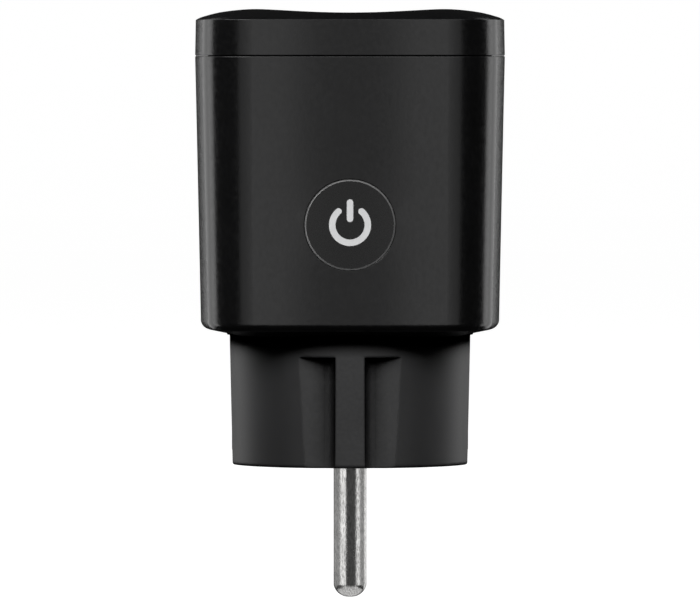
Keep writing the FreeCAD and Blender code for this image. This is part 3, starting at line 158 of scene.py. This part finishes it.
def moulded_plastic(name, colour, rough, grain, depth, edge_radius=0.12 * MM, edge_light=0.6, shelter=None,
                    uneven=0.05):
    """Moulded plastic: spark-eroded grain, faint flow clouds, edges smoother from handling and lighter,
    partly as wear and partly as a painted edge highlight.
    The shelter sets the painted shade in overhangs and corners: how far it reaches, and the openness at
    which it is darkest and at which it is gone."""
    finish = Finish(name)
    normal, edge = finish.soft_edges(edge_radius)
    fine = finish.noise(grain, 3.0)
    pits = finish.noise(grain * 2.3, 1.0, offset=3.1)
    clouds = finish.noise(9 * MM, 2.0)
    relief = finish.bump(fine, depth, normal)
    relief = finish.bump(pits, depth * 0.6, relief)
    tone = finish.mix(finish.span(clouds, 0.0, 1.0), shade(colour, 0.85), shade(colour, 1.15))
    # Lighter tone along edges: partly wear, partly a painted edge highlight.
    tone = finish.mix(finish.sum(edge, edge_light, "MULTIPLY"), tone, shade(colour, 2.2))
    roughness = finish.span(pits, rough - uneven, rough + uneven)
    roughness = finish.sum(roughness, finish.sum(edge, -0.08, "MULTIPLY"))
    # Painted shade: the tone darkens and the sheen fades in corners and under overhangs.
    if shelter:
        unshaded = finish.painted_shade(*shelter)
        tone = finish.mix(unshaded, shade(colour, 0.1), tone)
        finish.set(Specular_IOR_Level=finish.sum(unshaded, 0.5, "MULTIPLY"))
    return finish.set(Base_Color=tone, Roughness=roughness, Normal=relief)


def button_finish():
    """The shell's satin black, with a light grey ring painted on the bevel around the cap as a painted
    highlight.
    """
    finish = Finish("button_satin")
    fine = finish.noise(0.24 * MM, 3.0)
    parts = finish.add("ShaderNodeSeparateXYZ", Vector=finish.place).outputs
    low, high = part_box("power_button")
    level = (low.z + high.z) / 2
    rise = finish.sum(parts["Z"], -level)
    across = finish.sum(parts["X"], parts["X"], "MULTIPLY")
    upward = finish.sum(rise, rise, "MULTIPLY")
    radius = finish.sum(finish.sum(across, upward), 0.5, "POWER")
    bevel = finish.span(radius, 0.0, 1.0, BEVEL_INNER - 0.01 * MM, BEVEL_INNER + 0.01 * MM)
    in_front = finish.span(parts["Y"], 1.0, 0.0, BEVEL_BACK - 0.1 * MM, BEVEL_BACK + 0.1 * MM)
    bevel = finish.sum(bevel, in_front, "MULTIPLY")
    # Painted highlight: the bevel is light grey, so it shows as a bright ring around the cap.
    tone = finish.mix(bevel, BLACK, BEVEL_HIGHLIGHT_GREY)
    roughness = finish.sum(finish.span(fine, 0.24, 0.32), finish.sum(bevel, 0.1, "MULTIPLY"))
    relief = finish.bump(fine, 0.008 * MM)
    return finish.set(Base_Color=tone, Roughness=roughness, Normal=relief)


def light_guide():
    """Milky translucent plastic with faint swirls."""
    finish = Finish("milky_light_guide")
    swirl = finish.noise(1.6 * MM, 2.0)
    tone = finish.mix(finish.span(swirl, 0.0, 1.0), (0.76, 0.765, 0.77), (0.82, 0.825, 0.83))
    relief = finish.bump(finish.noise(0.2 * MM), 0.002 * MM)
    return finish.set(Base_Color=tone, Roughness=0.38, Normal=relief)


def clear_smoke(name, colour, rough):
    """Glossy epoxy or lacquer over an uneven body."""
    finish = Finish(name)
    lumps = finish.noise(1.2 * MM, 3.0)
    specks = finish.noise(0.15 * MM, 2.0, offset=5.0)
    normal, edge = finish.soft_edges(0.15 * MM)
    tone = finish.mix(finish.span(lumps, 0.0, 1.0), shade(colour, 0.8), shade(colour, 1.15))
    # Lighter tone along edges: partly wear, partly a painted edge highlight.
    tone = finish.mix(finish.sum(edge, 0.4, "MULTIPLY"), tone, shade(colour, 1.5))
    roughness = finish.span(specks, rough - 0.06, rough + 0.08)
    relief = finish.bump(lumps, 0.02 * MM, normal)
    return finish.set(Base_Color=tone, Roughness=roughness, Normal=relief, Coat_Weight=0.3)


# ---- metals ----------------------------------------------------------------------------------------

def plated_metal(name, colour, rough, brush=(1, 1, 14), grain=0.05 * MM, depth=0.0015 * MM, tarnish=0.25,
                 speckle=0.0):
    """Plated metal with fine drawn lines, a slightly uneven sheen and faint tarnish."""
    finish = Finish(name)
    normal, edge = finish.soft_edges(0.08 * MM)
    lines = finish.noise(grain, 3.0, stretch=brush)
    cloud = finish.noise(2.5 * MM, 3.0, offset=1.7)
    relief = finish.bump(lines, depth, normal)
    tone = finish.mix(finish.span(cloud, 0.0, 1.0, 0.35, 0.75), colour, shade(colour, 1 - tarnish))
    # Lighter tone along edges: partly wear, partly a painted edge highlight.
    tone = finish.mix(finish.sum(edge, 0.3, "MULTIPLY"), tone, shade(colour, 1.3))
    if speckle:
        tone = finish.mix(finish.span(lines, 0.0, speckle, 0.4, 0.65), tone, shade(colour, 0.3))
    roughness = finish.sum(finish.span(cloud, rough - 0.04, rough + 0.08), finish.span(lines, -0.02, 0.04))
    return finish.set(Base_Color=tone, Metallic=1.0, Roughness=roughness, Normal=relief)


# ---- boards and wound parts ------------------------------------------------------------------------

def circuit_board():
    """Green solder mask over faint copper runs, with a weave below it."""
    finish = Finish("board_green")
    runs = finish.add("ShaderNodeTexWave", {"wave_type": "BANDS", "bands_direction": "DIAGONAL"},
                      Vector=finish.place, Scale=260.0, Distortion=6.0, Detail=1.0)
    weave = finish.noise(0.3 * MM, 2.0)
    stripe = finish.span(runs.outputs["Fac"], 0.0, 1.0, 0.45, 0.55)
    tone = finish.mix(stripe, (0.008, 0.075, 0.028), (0.014, 0.115, 0.045))
    tone = finish.mix(finish.span(weave, 0.0, 0.35), tone, (0.02, 0.14, 0.06))
    relief = finish.bump(stripe, 0.03 * MM)
    return finish.set(Base_Color=tone, Roughness=finish.span(weave, 0.28, 0.4), Normal=relief,
                      Coat_Weight=0.4, Coat_Roughness=0.15)


def wound_wire(name, colour, pitch, direction):
    """Rows of enamelled wire or tape edges around a spool."""
    finish = Finish(name)
    rows = finish.add("ShaderNodeTexWave", {"wave_type": "BANDS", "bands_direction": direction},
                      Vector=finish.place, Scale=0.5 / pitch, Distortion=0.15)
    cloud = finish.noise(1.5 * MM, 2.0)
    groove = rows.outputs["Fac"]
    # Painted shade: the tone is darker in the grooves between the rows.
    tone = finish.mix(finish.span(groove, 0.0, 1.0, 0.0, 1.0), shade(colour, 0.45), colour)
    tone = finish.mix(finish.span(cloud, 0.0, 0.3), tone, shade(colour, 0.7))
    relief = finish.bump(groove, pitch * 0.4)
    return finish.set(Base_Color=tone, Roughness=finish.span(cloud, 0.25, 0.4), Normal=relief,
                      Metallic=0.4)


# ---- every piece gets its finish -------------------------------------------------------------------

# The shell and the plug body get painted shade in seams, recesses and corners, and the plug body a painted
# shadow under the housing and beside its rib.
paint(moulded_plastic("shell_black_grain", BLACK, 0.22, 0.26 * MM, 0.009 * MM,
                      shelter=(5 * MM, 0.4, 0.85)), "main_housing", "front_cover")
paint(moulded_plastic("plug_black_grain", BLACK, 0.41, 0.18 * MM, 0.0015 * MM, edge_radius=0.5 * MM,
                      shelter=(3.5 * MM, 0.80, 0.99), uneven=0.015), "plug_body")
paint(button_finish(), "power_button")
paint(light_guide(), "symbol_light_guide")
paint(moulded_plastic("inner_black", shade(BLACK, 2.0), 0.5, 0.3 * MM, 0.004 * MM),
      "switch_base", "relay_base")
# The shutter is a darker black than the shell, with deep painted shade and little painted edge highlight, so
# that it looks black behind the pin holes.
paint(moulded_plastic("shutter_black", shade(BLACK, 0.5), 0.55, 0.3 * MM, 0.004 * MM, edge_light=0.1,
                      shelter=(8 * MM, 0.55, 1.0)), "shutter_rotor", "shutter_plate")
paint(moulded_plastic("chip_epoxy", (0.018, 0.018, 0.019), 0.55, 0.08 * MM, 0.003 * MM),
      "board_chips", "bridge_rectifier")
paint(moulded_plastic("relay_blue", (0.012, 0.05, 0.16), 0.4, 0.3 * MM, 0.004 * MM), "relay_case")
paint(moulded_plastic("bobbin_white", (0.62, 0.60, 0.55), 0.45, 0.3 * MM, 0.003 * MM), "relay_bobbin")
paint(moulded_plastic("plunger_ivory", (0.55, 0.52, 0.45), 0.42, 0.2 * MM, 0.003 * MM), "switch_plunger")
paint(moulded_plastic("capacitor_yellow", (0.62, 0.40, 0.04), 0.38, 0.4 * MM, 0.006 * MM), "film_capacitor")
paint(moulded_plastic("capacitor_sleeve", (0.015, 0.017, 0.022), 0.3, 0.5 * MM, 0.004 * MM),
      "electrolytic_capacitors")
paint(clear_smoke("varistor_blue", (0.02, 0.11, 0.30), 0.22), "varistor")
paint(clear_smoke("fuse_green", (0.10, 0.20, 0.12), 0.3), "fuse_resistor")
paint(clear_smoke("led_lens", (0.75, 0.72, 0.55), 0.15), "indicator_leds")
paint(clear_smoke("ferrite", (0.035, 0.034, 0.033), 0.45), "transformer_core")
paint(wound_wire("coil_copper", (0.48, 0.16, 0.05), 0.16 * MM, "Y"), "relay_coil")
paint(wound_wire("winding_tape", (0.70, 0.50, 0.08), 1.3 * MM, "Z"), "transformer_winding")
paint(circuit_board(), "main_board", "control_board", "wifi_board")
paint(plated_metal("nickel_pins", (0.70, 0.695, 0.685), 0.19, brush=(1, 1, 4), grain=0.15 * MM,
                   depth=0.014 * MM, speckle=0.6), "live_pin", "neutral_pin")
paint(plated_metal("nickel_strip", (0.58, 0.565, 0.54), 0.26, brush=(14, 1, 1)),
      "plug_earth_strap", "earth_receptacle", "earth_link", "socket_earth_strap")
paint(plated_metal("clip_bronze", (0.62, 0.61, 0.59), 0.24, brush=(1, 1, 14), tarnish=0.15),
      "earth_clip_right", "earth_clip_left")
paint(plated_metal("spring_steel", (0.42, 0.42, 0.43), 0.3, brush=(1, 14, 1)), "shutter_spring")
paint(plated_metal("contact_brass", (0.62, 0.46, 0.20), 0.24, brush=(1, 1, 14)),
      "live_contact", "neutral_contact", "relay_moving_contact", "relay_fixed_contact")
paint(plated_metal("zinc_steel", (0.50, 0.51, 0.53), 0.32, brush=(8, 1, 1)),
      "relay_core", "relay_yoke", "relay_armature", "board_screws", "switch_frame")
paint(plated_metal("tinned", (0.60, 0.60, 0.59), 0.35, brush=(1, 1, 6)),
      "relay_terminals", "control_header", "wifi_shield")
paint(plated_metal("shunt_alloy", (0.45, 0.36, 0.28), 0.38, brush=(8, 1, 1)), "shunt_resistor")

unpainted = [name for name, node in NODES.items()
             if not all(slot.name.startswith(tuple(FINISHES)) for slot in node.data.materials)]
if unpainted:
    raise RuntimeError(f"no finish for {unpainted}")


# ---- stage -----------------------------------------------------------------------------------------

FLOOR = cad_box[0].z
MIDDLE = Vector((0, 0, 24 * MM))      # what the camera and the lights point at
PAPER = 0.25                          # how much light the paper gives back
GLOW = 0.985                          # how white the camera sees it without any light


def stage_material():
    """White to the camera with a soft shadow, and clear to every other ray, as in a cut-out picture."""
    material = bpy.data.materials.new("white_paper")
    material.use_nodes = True
    tree = material.node_tree
    tree.nodes.clear()
    output = tree.nodes.new("ShaderNodeOutputMaterial")
    path = tree.nodes.new("ShaderNodeLightPath")
    choice = tree.nodes.new("ShaderNodeMixShader")
    clear = tree.nodes.new("ShaderNodeBsdfTransparent")
    paper = tree.nodes.new("ShaderNodeBsdfDiffuse")
    paper.inputs["Color"].default_value = (PAPER, PAPER, PAPER, 1)
    glow = tree.nodes.new("ShaderNodeEmission")
    glow.inputs["Color"].default_value = (GLOW, GLOW, GLOW, 1)
    seen = tree.nodes.new("ShaderNodeAddShader")
    tree.links.new(paper.outputs[0], seen.inputs[0])
    tree.links.new(glow.outputs[0], seen.inputs[1])
    tree.links.new(path.outputs["Is Camera Ray"], choice.inputs[0])
    tree.links.new(clear.outputs[0], choice.inputs[1])
    tree.links.new(seen.outputs[0], choice.inputs[2])
    tree.links.new(choice.outputs[0], output.inputs["Surface"])
    return material


def sweep_backdrop():
    """A wide round floor that curves up into a wall well behind the lights."""
    floor_radius = 2.2
    curve = 0.5
    height = 2.4
    steps = 12
    around = 96
    rings = [(floor_radius, 0.0)]
    for step in range(1, steps + 1):
        angle = math.pi / 2 * step / steps
        rings.append((floor_radius + curve * math.sin(angle), curve * (1 - math.cos(angle))))
    rings.append((floor_radius + curve, height))
    points = [(0, 0, FLOOR)]
    for radius, rise in rings:
        for spoke in range(around):
            angle = 2 * math.pi * spoke / around
            points.append((radius * math.cos(angle), radius * math.sin(angle), FLOOR + rise))
    faces = [(0, 1 + spoke, 1 + (spoke + 1) % around) for spoke in range(around)]
    for ring in range(len(rings) - 1):
        inner = 1 + ring * around
        outer = inner + around
        for spoke in range(around):
            after = (spoke + 1) % around
            faces.append((inner + spoke, outer + spoke, outer + after, inner + after))
    mesh = bpy.data.meshes.new("backdrop")
    mesh.from_pydata(points, [], faces)
    backdrop = bpy.data.objects.new("backdrop", mesh)
    bpy.context.scene.collection.objects.link(backdrop)
    backdrop.data.materials.append(stage_material())


# ---- light -----------------------------------------------------------------------------------------

PINS = ("live_pin", "neutral_pin")
PLUG = ("plug_body",)
CLIPS = ("earth_clip_right", "earth_clip_left")
PANEL_AWAY = 0.7


def light_group(name, nodes, state):
    """A light-linking group: its nodes are the only ones lit, or the ones left unlit."""
    group = bpy.data.collections.new(name)
    for node in nodes:
        group.objects.link(NODES[node])
    for member in group.collection_objects:
        member.light_linking.link_state = state
    return group


for_pins = light_group("lit_for_pins", PINS, "INCLUDE")
for_plug = light_group("lit_for_plug", PLUG, "INCLUDE")
for_clips = light_group("lit_for_clips", CLIPS, "INCLUDE")
for_shell = light_group("lit_for_shell", PINS + PLUG + CLIPS, "EXCLUDE")
for_edges = light_group("lit_for_edges", PINS + PLUG + CLIPS + ("power_button",), "EXCLUDE")


def panel(name, azimuths, elevations, radiance, lit):
    """A softbox that fills a span of directions around the plug, counted from the button's side.
    Positive azimuths are on the +X side; radiance 1 is as bright as white paper."""
    azimuth = math.radians(sum(azimuths) / 2)
    elevation = math.radians(sum(elevations) / 2)
    width = 2 * PANEL_AWAY * math.tan(math.radians(azimuths[1] - azimuths[0]) / 2)
    height = 2 * PANEL_AWAY * math.tan(math.radians(elevations[1] - elevations[0]) / 2)
    outward = Vector((math.sin(azimuth) * math.cos(elevation), -math.cos(azimuth) * math.cos(elevation),
                      math.sin(elevation)))
    data = bpy.data.lights.new(name, "AREA")
    data.shape = "RECTANGLE"
    data.size = width
    data.size_y = height
    data.energy = radiance * math.pi * width * height
    lamp = bpy.data.objects.new(name, data)
    lamp.location = MIDDLE + outward * PANEL_AWAY
    lamp.rotation_euler = outward.to_track_quat("Z", "Y").to_euler()
    lamp.light_linking.receiver_collection = lit
    bpy.context.scene.collection.objects.link(lamp)


def both_sides(name, azimuths, elevations, radiance, lit):
    """The same softbox on the +X side and, mirrored, on the -X side."""
    panel(f"{name}_right", azimuths, elevations, radiance, lit)
    panel(f"{name}_left", (-azimuths[1], -azimuths[0]), elevations, radiance, lit)


def light_the_shell():
    """A dim front with brighter edges, dark corners between it and the bright rims, and light from above."""
    upright = (-25, 40)
    panel("front", (-11, 11), upright, 0.43, for_shell)
    both_sides("front_edge", (11, 29), upright, 0.96, for_shell)
    both_sides("front_fade", (29, 47), upright, 0.5, for_shell)
    both_sides("rim", (109, 128), upright, 1.5, for_shell)
    both_sides("rim_back", (128, 160), upright, 0.8, for_shell)
    panel("key", (-85, -40), (30, 58), 5.5, for_shell)
    panel("front_top", (-40, 40), (50, 66), 4.5, for_edges)
    panel("top", (-35, 35), (72, 108), 0.35, for_shell)


def light_the_plug():
    """Mostly light from well above the horizon, so that the housing casts its shadow on the plug body."""
    raised = (30, 50)
    lowered = (16, 42)
    panel("plug_front", (-42, 42), raised, 25, for_plug)
    both_sides("plug_rim", (118, 142), lowered, 50, for_plug)
    both_sides("plug_rim_back", (142, 162), lowered, 16, for_plug)
    both_sides("plug_rim_low", (112, 138), (-10, 30), 0.6, for_plug)


def light_the_pins():
    """Bright and dark upright bands for the pins to mirror, and light from below for their tips."""
    upright = (-25, 50)
    panel("pin_left", (-74, -28), upright, 1.25, for_pins)
    panel("pin_left_edge", (-150, -74), upright, 0.42, for_pins)
    panel("pin_front", (-20, 38), upright, 0.07, for_pins)
    panel("pin_right", (43, 74), upright, 1.15, for_pins)
    panel("pin_right_side", (74, 118), upright, 0.4, for_pins)
    panel("pin_right_edge", (118, 155), upright, 1.2, for_pins)
    panel("pin_tip", (-50, 50), (-142, -38), 0.8, for_pins)


def light_the_clips():
    """The clips sit deep in the recess, so they mirror what is above them."""
    panel("clip_above", (-40, 40), (58, 122), 1.3, for_clips)
    both_sides("clip_side", (45, 135), (25, 70), 1.6, for_clips)


sweep_backdrop()
light_the_shell()
light_the_clips()
light_the_plug()
light_the_pins()

AMBIENT = 0.01
world = bpy.data.worlds.new("studio")
world.use_nodes = True
world.node_tree.nodes["Background"].inputs["Color"].default_value = (AMBIENT, AMBIENT, AMBIENT, 1)
bpy.context.scene.world = world


# ---- camera ----------------------------------------------------------------------------------------

CAMERA_AWAY = 1.42
CAMERA_LENS = 498      # millimetres: the plug just fills the picture's height
CAMERA_REACH = 20
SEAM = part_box("main_housing")[1].z

camera_data = bpy.data.cameras.new("camera")
camera_data.lens = CAMERA_LENS
camera_data.clip_end = CAMERA_REACH
camera = bpy.data.objects.new("camera", camera_data)
camera.location = (0, -CAMERA_AWAY, SEAM)
camera.rotation_euler = (MIDDLE - camera.location).to_track_quat("-Z", "Y").to_euler()
bpy.context.scene.collection.objects.link(camera)
bpy.context.scene.camera = camera
bpy.context.scene.view_settings.view_transform = "Standard"
